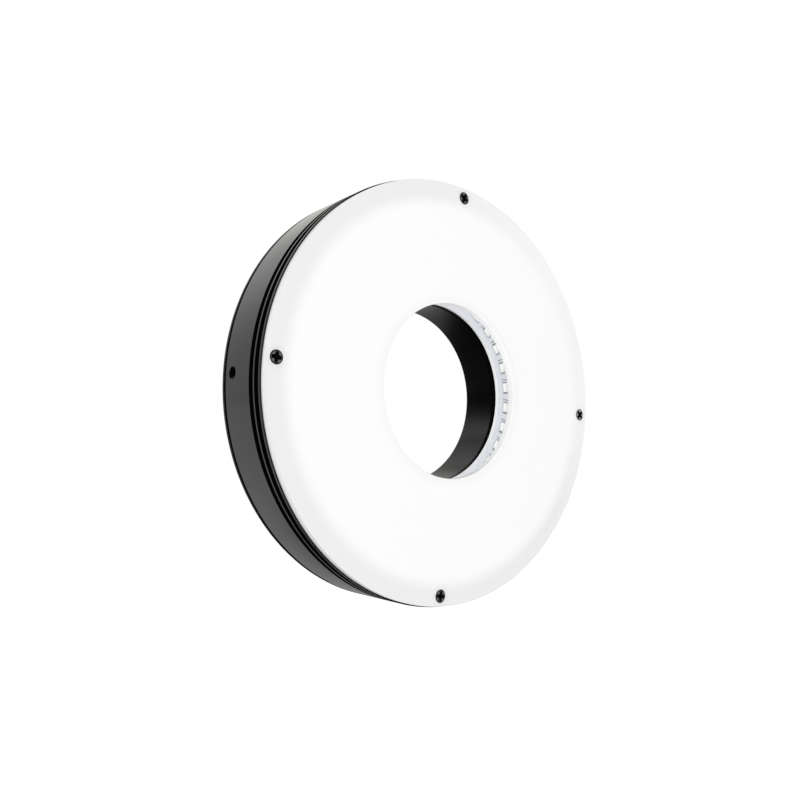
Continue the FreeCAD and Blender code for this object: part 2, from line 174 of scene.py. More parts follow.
# Radius and angle of the driver board's spacers
SPACER_PLACES = ((59.0, 52.0), (59.0, -52.0), (45.0, 32.0), (45.0, -32.0))
LEAD_RADIUS = 48.45
LEAD_OFFSET = 1.25
LEAD_HOLE_RADIUS = 2.85
WIRE_HOLE_RADIUS = 0.35

# Cord gland, on the right
GLAND_HEIGHT = 8.2
SPOT_FACE_RADIUS = 74.5
SPOT_FACE_CLEARANCE = 0.2
GLAND_THREAD_RADIUS = 4.0
GLAND_CLEARANCE = 0.1
GLAND_BORE_RADIUS = 2.6
COLLAR_RADIUS = 5.3
COLLAR_END = 76.5
NECK_RADIUS = 3.6
NECK_END = 80.5
CAP_START = 76.8
CAP_END = 84.4
CAP_FLATS = 10.0
CAP_MOUTH = 1.0
CAP_FOOT_CHAMFER = 0.2
CAP_SHOULDER_HEIGHT = 2.2
CAP_SHOULDER_WIDTH = 1.6
CAP_SHOULDER_ROUNDINGS = (0.8, 0.6)
GLAND_BORE_ROUNDING = 0.1
GLAND_END_ROUNDING = 0.2
COLLAR_ROUNDINGS = (0.15, 0.25)
NECK_ROUNDING = 0.1
SEAL_ROUNDINGS = (0.15, 0.05)

# Looks: colours are linear, a noise's scale is per metre, and radii and depths are in millimetres.
# A depth is 0 at the rear face and negative in front of it
NOISE_RANGE = (0.3, 0.7)
PLAIN_GRAIN = 900.0
PLAIN_SPREAD = 0.06
ANODISED_COLOURS = ((0.0010, 0.0010, 0.0011), (0.0020, 0.0020, 0.0021))
ANODISED_ROUGHNESS = (0.12, 0.15)
RINGS_PER_MM = 5.0
RING_ROUGHNESS = (-0.01, 0.02)
RING_RELIEF = 0.5
COVER_MATT = 0.3
COVER_MATT_RADII = (TUBE_RADIUS, TUBE_RADIUS + 1.0)
COVER_MATT_DEPTHS = (-COVER_HEIGHT - 0.1, -COVER_HEIGHT)

# Opal plate, with painted shade: OPAL_SHADE is how far a painted shade of 1 leads from its own colour to the
# grey one, and below stand the strength and the place of each painted shade and of the painted glow of the
# hole
OPAL_COLOURS = ((0.985, 0.985, 0.985), (0.5, 0.512, 0.535))
OPAL_ROUGHNESS = (0.38, 0.46)
OPAL_SHADE = 0.25
OPAL_CLOUDS = (-0.02, 0.02)
WALL_SHADE_RADII = (CAVITY_RADIUS - 4.0, CAVITY_RADIUS + 2.5)
WALL_SHADE_SLANT = (1.3, 0.8)
WALL_SHADE_FADE = (0.5, 1.6)
WALL_SHADE_LEAST = 0.35
HOLE_SHADE = 0.3
HOLE_SHADE_RADII = (DIFFUSER_HOLE_RADIUS + 0.3, DIFFUSER_HOLE_RADIUS + 4.5)
HOLE_WALL_RADII = (DIFFUSER_HOLE_RADIUS + 0.02, DIFFUSER_HOLE_RADIUS + 0.1)
# Painted glow on the wall of the opal's hole
PAINTED_HOLE_GLOW = 0.25
HOLE_GLOW_HEIGHT = 28.0
SCREW_SHADE = 0.45
SCREW_SHADE_RADII = (2.3, 4.6)
EDGE_SHADE_RADII = (DIFFUSER_RADIUS - 0.25, DIFFUSER_RADIUS - 0.08)
FRONT_SHADE = 0.6
FRONT_SHADE_DEPTHS = (-FRONT_HEIGHT + 0.15, -FRONT_HEIGHT + 0.5)
SEAT_SHADE = 1.5
SEAT_SHADE_DEPTHS = (-FRONT_HEIGHT + 1.2, -RIM_HEIGHT)

# Screws, light board and packages
STEEL_COLOURS = ((0.004, 0.004, 0.004), (0.42, 0.42, 0.43))
STEEL_ROUGHNESS = (0.3, 0.4)
# The lighter flat of the screw heads is partly wear and partly painted highlight
STEEL_WEAR_AND_HIGHLIGHT = (0.7, 1.0)
WORN_AND_LIT_DEPTHS = (0.06, 0.01)
LESS_WORN_AND_LIT = 0.35
MOST_WORN_AND_LIT_ACROSS = (50.0, 60.0)
BOARD_COLOURS = ((0.97, 0.97, 0.97), (0.76, 0.775, 0.815))
BOARD_ROUGHNESS = (0.36, 0.46)
BOARD_SPECKLES = 0.15
LIGHTER_EDGE_RADII = (BOARD_INNER_RADIUS + 0.1, BOARD_INNER_RADIUS + 0.25)
PACKAGE_COLOURS = ((0.96, 0.96, 0.95), (0.6, 0.6, 0.61))
PACKAGE_ROUGHNESS = (0.3, 0.4)
PACKAGE_SPECKLES = 0.1
PACKAGE_FRONT = -BOARD_FRONT_HEIGHT - PACKAGE_SIZE[2]
# Depths of the painted shade on the packages' sides
PACKAGE_SHADED_SIDE_DEPTHS = (PACKAGE_FRONT + 0.06, PACKAGE_FRONT + 0.16)

# Camera, measured in the photograph: where it stands and how it is turned
CAMERA_PLACE = Vector((-181.4, -223.7, -29.9)) * MM
CAMERA_FORWARD = Vector((0.62225, 0.77679, 0.09696))
CAMERA_RIGHT = Vector((0.77829, -0.62719, 0.03001))
CAMERA_LENS = 34.25
SENSOR_WIDTH = 36.0
CAMERA_CLIP_START = 0.01

# Room: its light, and what shiny surfaces reflect of it by the parts of a direction: across, back and up
ROOM_LIGHT = 0.6
WHITE_BEHIND = (0.15, 0.45)
LEFT_STEPS = ((-0.46, -0.12, 0.33), (-0.72, -0.5, 0.67))
HIGH_ZONE = (0.54, 0.63)
HIGH_LEVEL = 0.6
CORNER_ZONE = (0.76, 0.98)
CORNER_LEVEL = 0.55
WARM_ZONE = (-0.1, 0.35)
WHITE = (1.0, 1.0, 1.0)
WARM_WHITE = (1.0, 1.0, 0.95)

# Lamp, floor and net, in metres and watts
KEY_PLACE = Vector((-5.6, -5.6, 0.6))
KEY_SIZE = 1.8
KEY_POWER = 377.0
FLOOR_LEVEL = -0.3
FLOOR_HALF = 6.0
FLOOR_LIFT = 0.54
NET_LEVEL = -0.29
NET_MIDDLE = 0.04
NET_EDGE = 0.352
NET_SLOPE = 1.117
NET_SOFTNESS = 0.02
NET_COVER_LEFT = 0.32
NET_COVER_RIGHT = 0.66
NET_CHANGE = (-0.2, 0.22)
NET_COLOURS = ((0.001, 0.001, 0.001), (0.003, 0.003, 0.003))
FLOOR_COLOURS = ((0.9, 0.9, 0.9), (0.92, 0.92, 0.92))
FLOOR_ROUGHNESS = 0.9


def make_camera():
    """Perspective camera at the photograph's place and angle."""
    data = bpy.data.cameras.new("camera")
    data.lens = CAMERA_LENS
    data.sensor_width = SENSOR_WIDTH
    data.clip_start = CAMERA_CLIP_START
    camera = bpy.data.objects.new("camera", data)
    back = -CAMERA_FORWARD.normalized()
    right = (CAMERA_RIGHT - back * CAMERA_RIGHT.dot(back)).normalized()
    up = back.cross(right)
    turn = Matrix((right, up, back)).transposed().to_4x4()
    camera.matrix_world = Matrix.Translation(CAMERA_PLACE) @ turn
    bpy.context.scene.collection.objects.link(camera)
    bpy.context.scene.camera = camera


# Mesh tools
def rounded(corners, cuts=ROUNDING_CUTS):
    """Outline from (radius, height, rounding) corners, with each rounded corner as a short curve.

    On a long side one more point stands close to the curve, so that the side is shaded flat.
    """
    outline = []
    for i, (radius, height, size) in enumerate(corners):
        here = Vector((radius, height))
        if not size:
            outline.append(here)
            continue
        before = Vector(corners[i - 1][:2]) - here
        after = Vector(corners[(i + 1) % len(corners)][:2]) - here
        toward = before.normalized() * size
        away = after.normalized() * size
        if before.length > LONG_SIDE * size:
            outline.append(here + toward * GUARD)
        for k in range(cuts + 1):
            t = k / cuts
            outline.append(here + toward * (1.0 - t) ** 2 + away * t ** 2)
        if after.length > LONG_SIDE * size:
            outline.append(here + away * GUARD)
    return outline


def turned(outline, steps=TURN_STEPS):
    """Closed outline of (radius, height) points turned about the optical axis."""
    mesh = bmesh.new()
    rings = []
    for step in range(steps):
        angle = math.tau * step / steps
        across, up = math.cos(angle), math.sin(angle)
        rings.append([mesh.verts.new((r * across, r * up, h)) for r, h in outline])
    for step in range(steps):
        near = rings[step]
        far = rings[(step + 1) % steps]
        for i in range(len(outline)):
            j = (i + 1) % len(outline)
            on_axis = max(outline[i][0], outline[j][0]) < SAME_POINT
            if not on_axis:
                mesh.faces.new((near[i], near[j], far[j], far[i]))
    bmesh.ops.remove_doubles(mesh, verts=mesh.verts, dist=SAME_POINT)
    bmesh.ops.recalc_face_normals(mesh, faces=mesh.faces)
    return mesh


def drill(radius, low, high, steps=SMALL_TURN_STEPS):
    """Plain cylinder between two heights, for a round hole."""
    return turned([(0.0, low), (radius, low), (radius, high), (0.0, high)], steps)


def threaded(radius, depth, pitch, low, high):
    """Cutting tool for a tapped hole: ridges around it leave the thread's grooves in the wall."""
    outline = [Vector((0.0, low)), Vector((radius, low))]
    turns = int((high - low) / pitch)
    for i in range(turns):
        start = low + i * pitch
        outline.append(Vector((radius, start + pitch * RIDGE_FOOT)))
        outline.append(Vector((radius + depth, start + pitch / 2.0)))
        outline.append(Vector((radius, start + pitch * (1.0 - RIDGE_FOOT))))
    outline += [Vector((radius, high)), Vector((0.0, high))]
    return turned(outline, SMALL_TURN_STEPS)


def block(size, rounding):
    """Box that stands on height 0, centred on the axis, with rounded edges."""
    mesh = bmesh.new()
    bmesh.ops.create_cube(mesh, size=1.0)
    for vert in mesh.verts:
        vert.co = Vector((vert.co.x * size[0], vert.co.y * size[1], (vert.co.z + 0.5) * size[2]))
    bmesh.ops.bevel(mesh, geom=list(mesh.edges), offset=rounding, segments=BLOCK_CUTS, profile=0.5,
                    affect="EDGES", clamp_overlap=True)
    return mesh


def prism(points, low, high):
    """Flat outline of (x, y) points, drawn out between two heights."""
    mesh = bmesh.new()
    bottom = [mesh.verts.new((x, y, low)) for x, y in points]
    top = [mesh.verts.new((x, y, high)) for x, y in points]
    mesh.faces.new(bottom)
    mesh.faces.new(top)
    for i in range(len(points)):
        j = (i + 1) % len(points)
        mesh.faces.new((bottom[i], bottom[j], top[j], top[i]))
    bmesh.ops.recalc_face_normals(mesh, faces=mesh.faces)
    return mesh


def corner_radius(flats):
    """From the middle of a hexagon to its corner."""
    return flats / 2.0 / math.cos(math.pi / 6.0)


def hexagon(flats, low, high):
    """Hexagonal prism by its width across flats."""
    corner = corner_radius(flats)
    points = [(corner * math.cos(i * math.pi / 3.0), corner * math.sin(i * math.pi / 3.0))
              for i in range(6)]
    return prism(points, low, high)


def moved(mesh, matrix):
    """Copy of a mesh at another place."""
    copy = mesh.copy()
    bmesh.ops.transform(copy, matrix=matrix, verts=copy.verts)
    return copy


def at(radius, angle, height=0.0, turn=0.0):
    """Placing of a piece at a radius and an angle, turned about its own axis first."""
    return (Matrix.Rotation(math.radians(angle), 4, "Z") @ Matrix.Translation((radius, 0.0, height))
            @ Matrix.Rotation(math.radians(turn), 4, "Z"))


def on_circle(mesh, radius, angles):
    """Copies of a mesh at several angles of a circle."""
    return [moved(mesh, at(radius, angle)) for angle in angles]


def radial(angle, height):
    """Placing of a piece that is drawn along +Z and points outwards."""
    return (Matrix.Translation((0.0, 0.0, height)) @ Matrix.Rotation(math.radians(angle), 4, "Z")
            @ Matrix.Rotation(math.radians(90.0), 4, "Y"))


def joined(meshes):
    """One mesh that holds all the given ones."""
    whole = bmesh.new()
    for mesh in meshes:
        data = bpy.data.meshes.new("joined")
        mesh.to_mesh(data)
        whole.from_mesh(data)
        bpy.data.meshes.remove(data)
    return whole


def scratch_object(mesh, name):
    """Short-lived object for a boolean."""
    data = bpy.data.meshes.new(name)
    mesh.to_mesh(data)
    made = bpy.data.objects.new(name, data)
    bpy.context.scene.collection.objects.link(made)
    return made


def combined(body, tools, operation):
    """Body and tools put through one exact boolean."""
    first = scratch_object(body, "body_shape")
    second = scratch_object(joined(tools), "tool_shape")
    modifier = first.modifiers.new("combine", "BOOLEAN")
    modifier.operation = operation
    modifier.solver = "EXACT"
    modifier.object = second
    graph = bpy.context.evaluated_depsgraph_get()
    data = bpy.data.meshes.new_from_object(first.evaluated_get(graph))
    result = bmesh.new()
    result.from_mesh(data)
    bpy.data.meshes.remove(data)
    for operand in (first, second):
        bpy.data.meshes.remove(operand.data)
    bmesh.ops.remove_doubles(result, verts=result.verts, dist=SAME_CUT_POINT)
    return result


def piece(name, meshes, slot, replaced=()):
    """Finished piece from meshes in millimetres, on the fixed frame."""
    mesh = joined(meshes)
    bmesh.ops.transform(mesh, matrix=Matrix.Scale(MM, 4) @ UPRIGHT, verts=mesh.verts)
    data = bpy.data.meshes.new(name)
    mesh.to_mesh(data)
    data.polygons.foreach_set("use_smooth", [True] * len(data.polygons))
    data.set_sharp_from_angle(angle=SMOOTH_ANGLE)
    data.materials.append(FINISHES[slot])
    made = bpy.data.objects.new(name, data)
    bpy.context.scene.collection.objects.link(made)
    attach(made, "root")
    if replaced:
        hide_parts(*replaced)
    return made


# Node trees
def new_material(name):
    """Material with its node tree and its Principled shader."""
    material = bpy.data.materials.new(name)
    material.use_nodes = True
    tree = material.node_tree
    return material, tree, tree.nodes["Principled BSDF"]


def link(tree, source, target):
    """Join two sockets of a tree."""
    tree.links.new(source, target)


def noise(tree, scale, detail=3.0):
    """Noise in the object's own coordinates, in metres."""
    coordinates = tree.nodes.new("ShaderNodeTexCoord")
    texture = tree.nodes.new("ShaderNodeTexNoise")
    texture.inputs["Scale"].default_value = scale
    texture.inputs["Detail"].default_value = detail
    link(tree, coordinates.outputs["Object"], texture.inputs["Vector"])
    return texture.outputs["Fac"]


def ramp(tree, value, low, high, low_value, high_value, soft=False):
    """Value taken from one range to another, without going outside it."""
    node = tree.nodes.new("ShaderNodeMapRange")
    node.interpolation_type = "SMOOTHSTEP" if soft else "LINEAR"
    node.inputs["From Min"].default_value = low
    node.inputs["From Max"].default_value = high
    node.inputs["To Min"].default_value = low_value
    node.inputs["To Max"].default_value = high_value
    link(tree, value, node.inputs["Value"])
    return node.outputs["Result"]


def mix_colours(tree, factor, first, second):
    """Colour between two, by a factor."""
    node = tree.nodes.new("ShaderNodeMix")
    node.data_type = "RGBA"
    node.inputs["A"].default_value = (*first, 1.0)
    node.inputs["B"].default_value = (*second, 1.0)
    link(tree, factor, node.inputs["Factor"])
    return node.outputs["Result"]


def between(tree, texture, low, high):
    """Noise spread over two values, for most of it lies in the middle of its own range."""
    return ramp(tree, texture, *NOISE_RANGE, low, high)


def calculated(tree, operation, first, second=0.0):
    """Math node; either value may be a number or another node's output."""
    node = tree.nodes.new("ShaderNodeMath")
    node.operation = operation
    for socket, value in ((node.inputs[0], first), (node.inputs[1], second)):
        if isinstance(value, (int, float)):
            socket.default_value = value
        else:
            link(tree, value, socket)
    return node.outputs[0]


def product(tree, first, second):
    """Two values multiplied."""
    return calculated(tree, "MULTIPLY", first, second)


def total(tree, first, *others):
    """Sum of two values or more."""
    for other in others:
        first = calculated(tree, "ADD", first, other)
    return first


def position(tree):
    """Place in millimetres along the frame's axes: to the right, to the rear and up.

    On the second axis the rear face is at 0 and the front face at -FRONT_HEIGHT.
    """
    coordinates = tree.nodes.new("ShaderNodeTexCoord")
    parts = tree.nodes.new("ShaderNodeSeparateXYZ")
    link(tree, coordinates.outputs["Object"], parts.inputs["Vector"])
    across, depth, height = (product(tree, parts.outputs[name], 1.0 / MM) for name in "XYZ")
    return across, depth, height


def axis_distance(tree, across, height, centre=(0.0, 0.0)):
    """Distance in millimetres from a line that is parallel to the optical axis."""
    off_x = calculated(tree, "SUBTRACT", across, centre[0])
    off_z = calculated(tree, "SUBTRACT", height, centre[1])
    return calculated(tree, "SQRT", total(tree, product(tree, off_x, off_x), product(tree, off_z, off_z)))


def bump(tree, shader, height, strength, distance):
    """Fine relief in the shader's normal."""
    node = tree.nodes.new("ShaderNodeBump")
    node.inputs["Strength"].default_value = strength
    node.inputs["Distance"].default_value = distance
    link(tree, height, node.inputs["Height"])
    link(tree, node.outputs["Normal"], shader.inputs["Normal"])


def plain_finish(name, dark, light, roughness, metallic=0.0):
    """Two close colours mottled by noise, with roughness and a fine bump from the same noise."""
    material, tree, shader = new_material(name)
    grains = noise(tree, PLAIN_GRAIN)
    smooth = roughness - PLAIN_SPREAD
    rough = roughness + PLAIN_SPREAD
    link(tree, mix_colours(tree, grains, dark, light), shader.inputs["Base Color"])
    link(tree, between(tree, grains, smooth, rough), shader.inputs["Roughness"])
    shader.inputs["Metallic"].default_value = metallic
    bump(tree, shader, grains, strength=0.15, distance=0.00003)
    return material


def turning_rings(tree, radius, depth):
    """Noise that changes with the radius and the depth only, so that it forms rings."""
    place = tree.nodes.new("ShaderNodeCombineXYZ")
    link(tree, radius, place.inputs["X"])
    link(tree, depth, place.inputs["Y"])
    texture = tree.nodes.new("ShaderNodeTexNoise")
    texture.noise_dimensions = "2D"
    texture.inputs["Scale"].default_value = RINGS_PER_MM
    texture.inputs["Detail"].default_value = 2.0
    link(tree, place.outputs["Vector"], texture.inputs["Vector"])
    return texture.outputs["Fac"]


def turned_black():
    """Anodised aluminium: fine grain, with the faint rings that turning leaves; the cover is more matt."""
    material, tree, shader = new_material("black_anodised")
    across, depth, height = position(tree)
    radius = axis_distance(tree, across, height)
    rings = turning_rings(tree, radius, depth)
    grains = noise(tree, scale=2500.0, detail=2.0)
    mottles = noise(tree, scale=60.0)
    link(tree, mix_colours(tree, mottles, *ANODISED_COLOURS), shader.inputs["Base Color"])
    outside_bore = ramp(tree, radius, *COVER_MATT_RADII, 0.0, COVER_MATT)
    on_cover = ramp(tree, depth, *COVER_MATT_DEPTHS, 0.0, 1.0)
    roughness = total(tree, between(tree, mottles, *ANODISED_ROUGHNESS),
                      between(tree, rings, *RING_ROUGHNESS), product(tree, outside_bore, on_cover))
    link(tree, roughness, shader.inputs["Roughness"])
    relief = total(tree, product(tree, rings, RING_RELIEF), grains)
    bump(tree, shader, relief, strength=0.1, distance=0.000012)
    return material


def wall_shade(tree, across, height, radius):
    """Painted shade over the housing's wall, weakest at the upper right."""
    over_wall = ramp(tree, radius, *WALL_SHADE_RADII, 0.0, 1.0, soft=True)
    to_the_right, upwards = WALL_SHADE_SLANT
    slanted = total(tree, product(tree, across, to_the_right), product(tree, height, upwards))
    direction = calculated(tree, "DIVIDE", slanted, radius)
    fading = ramp(tree, direction, *WALL_SHADE_FADE, 1.0, WALL_SHADE_LEAST, soft=True)
    return product(tree, over_wall, fading)


def hole_shade(tree, radius):
    """Painted shade on the face beside the plate's hole, which leaves the hole's own wall bright."""
    beside = ramp(tree, radius, *HOLE_SHADE_RADII, HOLE_SHADE, 0.0, soft=True)
    return product(tree, beside, ramp(tree, radius, *HOLE_WALL_RADII, 0.0, 1.0))


def screw_shade(tree, across, height):
    """Painted shade around the four screws."""
    halos = []
    for angle in DIFFUSER_SCREW_ANGLES:
        turn = math.radians(angle)
        middle = (SCREW_CIRCLE * math.cos(turn), SCREW_CIRCLE * math.sin(turn))
        gap = axis_distance(tree, across, height, middle)
        halos.append(ramp(tree, gap, *SCREW_SHADE_RADII, SCREW_SHADE, 0.0, soft=True))
    return total(tree, *halos)


def edge_shade(tree, depth, radius):
    """Painted shade on the plate's outer edge, at its front corner and near the seat."""
    at_edge = ramp(tree, radius, *EDGE_SHADE_RADII, 0.0, 1.0)
    at_front = ramp(tree, depth, *FRONT_SHADE_DEPTHS, FRONT_SHADE, 0.0)
    near_seat = ramp(tree, depth, *SEAT_SHADE_DEPTHS, 0.0, SEAT_SHADE, soft=True)
    return product(tree, at_edge, total(tree, at_front, near_seat))


def painted_hole_glow(tree, height, radius):
    """Painted glow on the wall of the plate's hole, growing towards the top, in place of light passed on
    inside the plate.
    """
    on_wall = ramp(tree, radius, *HOLE_WALL_RADII, 1.0, 0.0)
    return product(tree, ramp(tree, height, 0.0, HOLE_GLOW_HEIGHT, 0.0, PAINTED_HOLE_GLOW), on_wall)


def opal():
    """Opal acrylic with painted shade: brightest over the white chamber, greyer where black lies behind it.
    """
    material, tree, shader = new_material("opal_acrylic")
    across, depth, height = position(tree)
    radius = axis_distance(tree, across, height)
    clouds = between(tree, noise(tree, scale=25.0, detail=2.0), *OPAL_CLOUDS)
    # All these shades are painted shade in the plate's colour
    shade = total(tree, wall_shade(tree, across, height, radius), hole_shade(tree, radius),
                  screw_shade(tree, across, height), edge_shade(tree, depth, radius), clouds)
    colour = mix_colours(tree, product(tree, shade, OPAL_SHADE), *OPAL_COLOURS)
    link(tree, colour, shader.inputs["Base Color"])
    # Painted glow: the wall of the hole emits light, though the plate is no lamp
    shader.inputs["Emission Color"].default_value = (1.0, 1.0, 1.0, 1.0)
    link(tree, painted_hole_glow(tree, height, radius), shader.inputs["Emission Strength"])
    grains = noise(tree, scale=1500.0, detail=2.0)
    link(tree, between(tree, grains, *OPAL_ROUGHNESS), shader.inputs["Roughness"])
    bump(tree, shader, grains, strength=0.08, distance=0.00001)
    return material


def dark_steel():
    """Blackened steel of the screws: wear and painted highlight on the head's flat, black in recess and
    edge.
    """
    material, tree, shader = new_material("black_steel")
    across, depth, _ = position(tree)
    middle = FRONT_HEIGHT / 2.0
    from_middle = calculated(tree, "ABSOLUTE", total(tree, depth, middle))
    sound_depth, worn_and_lit_depth = WORN_AND_LIT_DEPTHS
    at_face = ramp(tree, from_middle, middle - sound_depth, middle - worn_and_lit_depth, 0.0, 1.0)
    grains = noise(tree, scale=1800.0)
    # The screw at the right has the most wear and the most painted highlight
    rightmost = ramp(tree, across, *MOST_WORN_AND_LIT_ACROSS, LESS_WORN_AND_LIT, 1.0)
    wear_and_highlight = product(tree, product(tree, at_face, between(tree, grains, *STEEL_WEAR_AND_HIGHLIGHT)), rightmost)
    link(tree, mix_colours(tree, wear_and_highlight, *STEEL_COLOURS), shader.inputs["Base Color"])
    link(tree, between(tree, grains, *STEEL_ROUGHNESS), shader.inputs["Roughness"])
    bump(tree, shader, grains, strength=0.1, distance=0.00001)
    return material


def white_board():
    """White solder mask, lighter at the board's inner edge."""
    material, tree, shader = new_material("white_board")
    across, _, height = position(tree)
    radius = axis_distance(tree, across, height)
    grains = noise(tree, PLAIN_GRAIN)
    mask = ramp(tree, radius, *LIGHTER_EDGE_RADII, 0.0, 1.0 - BOARD_SPECKLES)
    speckled = total(tree, mask, between(tree, grains, 0.0, BOARD_SPECKLES))
    link(tree, mix_colours(tree, speckled, *BOARD_COLOURS), shader.inputs["Base Color"])
    link(tree, between(tree, grains, *BOARD_ROUGHNESS), shader.inputs["Roughness"])
    bump(tree, shader, grains, strength=0.1, distance=0.00002)
    return material


def package_white():
    """Moulded package: white at the front, with painted shade on its sides."""
    material, tree, shader = new_material("package_white")
    _, depth, _ = position(tree)
    # Painted shade on the package's sides
    side = ramp(tree, depth, *PACKAGE_SHADED_SIDE_DEPTHS, 0.0, 1.0 - PACKAGE_SPECKLES)
    grains = noise(tree, PLAIN_GRAIN)
    mottled = total(tree, side, between(tree, grains, 0.0, PACKAGE_SPECKLES))
    link(tree, mix_colours(tree, mottled, *PACKAGE_COLOURS), shader.inputs["Base Color"])
    link(tree, between(tree, grains, *PACKAGE_ROUGHNESS), shader.inputs["Roughness"])
    bump(tree, shader, grains, strength=0.1, distance=0.00002)
    return material


FINISHES = {
    "black_anodised": turned_black(),
    "black_steel": dark_steel(),
    "opal_acrylic": opal(),
    "white_board": white_board(),
    "grey_silicone": plain_finish("grey_silicone", (0.4, 0.42, 0.45), (0.45, 0.47, 0.5), 0.7),
    "plated_steel": plain_finish("plated_steel", (0.55, 0.55, 0.56), (0.65, 0.65, 0.66), 0.3, metallic=1.0),
    "package_white": package_white(),
    "phosphor": plain_finish("phosphor", (0.94, 0.94, 0.91), (0.96, 0.96, 0.93), 0.3),
    "tin": plain_finish("tin", (0.32, 0.33, 0.36), (0.4, 0.41, 0.44), 0.45, metallic=0.2),
    "green_board": plain_finish("green_board", (0.02, 0.16, 0.07), (0.03, 0.2, 0.09), 0.4),
    "brass": plain_finish("brass", (0.6, 0.45, 0.18), (0.7, 0.54, 0.24), 0.3, metallic=1.0),
    "chip_black": plain_finish("chip_black", (0.02, 0.02, 0.022), (0.03, 0.03, 0.032), 0.5),
    "capacitor_can": plain_finish("capacitor_can", (0.6, 0.6, 0.62), (0.7, 0.7, 0.72), 0.3, metallic=1.0),
    "white_nylon": plain_finish("white_nylon", (0.82, 0.81, 0.76), (0.86, 0.85, 0.8), 0.45),
    "red_sleeve": plain_finish("red_sleeve", (0.45, 0.02, 0.015), (0.5, 0.03, 0.02), 0.45),
    "black_sleeve": plain_finish("black_sleeve", (0.015, 0.015, 0.015), (0.02, 0.02, 0.02), 0.45),
    "black_nylon": plain_finish("black_nylon", (0.010, 0.010, 0.011), (0.016, 0.016, 0.017), 0.45),
    "seal_rubber": plain_finish("seal_rubber", (0.015, 0.015, 0.015), (0.02, 0.02, 0.02), 0.6),
}


def dress_nodes():
    """Give each node of the frame the finish of its material slot."""
    for subpart in frame["record"]["subparts"]:
        for slot in NODES[subpart["node"]].material_slots:
            slot.material = FINISHES[subpart["material_slot"]]


# Housing
def housing_shape():
    """Turned body: wall with its grooves, seat of the board, bore, and the chamber behind the floor."""
    edge = FIN_ROUNDING
    at_seam, at_wall = REAR_CHAMFER_ROUNDINGS
    outer = [(HOUSING_RADIUS - REAR_CHAMFER, COVER_HEIGHT, at_seam),
             (HOUSING_RADIUS, COVER_HEIGHT + REAR_CHAMFER, at_wall)]
    for low, high in GROOVES:
        outer += [(HOUSING_RADIUS, low, edge), (GROOVE_RADIUS, low, edge), (GROOVE_RADIUS, high, edge),
                  (HOUSING_RADIUS, high, edge)]
    outer += [(HOUSING_RADIUS, RIM_HEIGHT, edge), (CAVITY_RADIUS, RIM_HEIGHT, edge),
              (CAVITY_RADIUS, SEAT_HEIGHT, 0.0), (PAD_RADIUS, SEAT_HEIGHT, 0.0),
              (PAD_RADIUS, FLOOR_HEIGHT, 0.0)]
    bore = [(BORE_RADIUS + BORE_CHAMFER, FLOOR_HEIGHT, BORE_RIM_ROUNDING),
            (BORE_RADIUS, FLOOR_HEIGHT - BORE_CHAMFER, BORE_CHAMFER_ROUNDING),
            (BORE_RADIUS, 0.0, BORE_REAR_ROUNDING), (SPIGOT_RADIUS, 0.0, SPIGOT_ROUNDING)]
    rear = [(SPIGOT_RADIUS, COVER_HEIGHT, 0.0), (TUBE_RADIUS, COVER_HEIGHT, 0.0),
            (TUBE_RADIUS, FLOOR_REAR_HEIGHT, 0.0), (CAVITY_RADIUS, FLOOR_REAR_HEIGHT, 0.0),
            (CAVITY_RADIUS, COVER_HEIGHT, 0.0)]
    return turned(rounded(outer + bore + rear))


def side_mount_tool():
    """Tapped hole in the wall, with a chamfered mouth."""
    mouth = HOUSING_RADIUS + OVERRUN
    start = HOUSING_RADIUS - SIDE_MOUNT_DEPTH
    face = HOUSING_RADIUS - SIDE_MOUNT_CHAMFER
    wide = SIDE_MOUNT_RADIUS + SIDE_MOUNT_CHAMFER
    narrow = SIDE_MOUNT_RADIUS + SINK_OVERLAP
    foot = face - SINK_OVERLAP
    thread = threaded(SIDE_MOUNT_RADIUS, SIDE_MOUNT_THREAD_DEPTH, SIDE_MOUNT_PITCH, start, face)
    sink = turned([(0.0, foot), (narrow, foot), (wide, HOUSING_RADIUS), (wide, mouth), (0.0, mouth)],
                  SMALL_TURN_STEPS)
    return combined(thread, [sink], "UNION")


def gland_seat_tool():
    """Hole and flat seat of the cord gland."""
    thread = GLAND_THREAD_RADIUS + GLAND_CLEARANCE
    face = COLLAR_RADIUS + SPOT_FACE_CLEARANCE
    start = CAVITY_RADIUS - OVERRUN
    mouth = HOUSING_RADIUS + OVERRUN
    return turned([(0.0, start), (thread, start), (thread, SPOT_FACE_RADIUS), (face, SPOT_FACE_RADIUS),
                   (face, mouth), (0.0, mouth)], SMALL_TURN_STEPS)


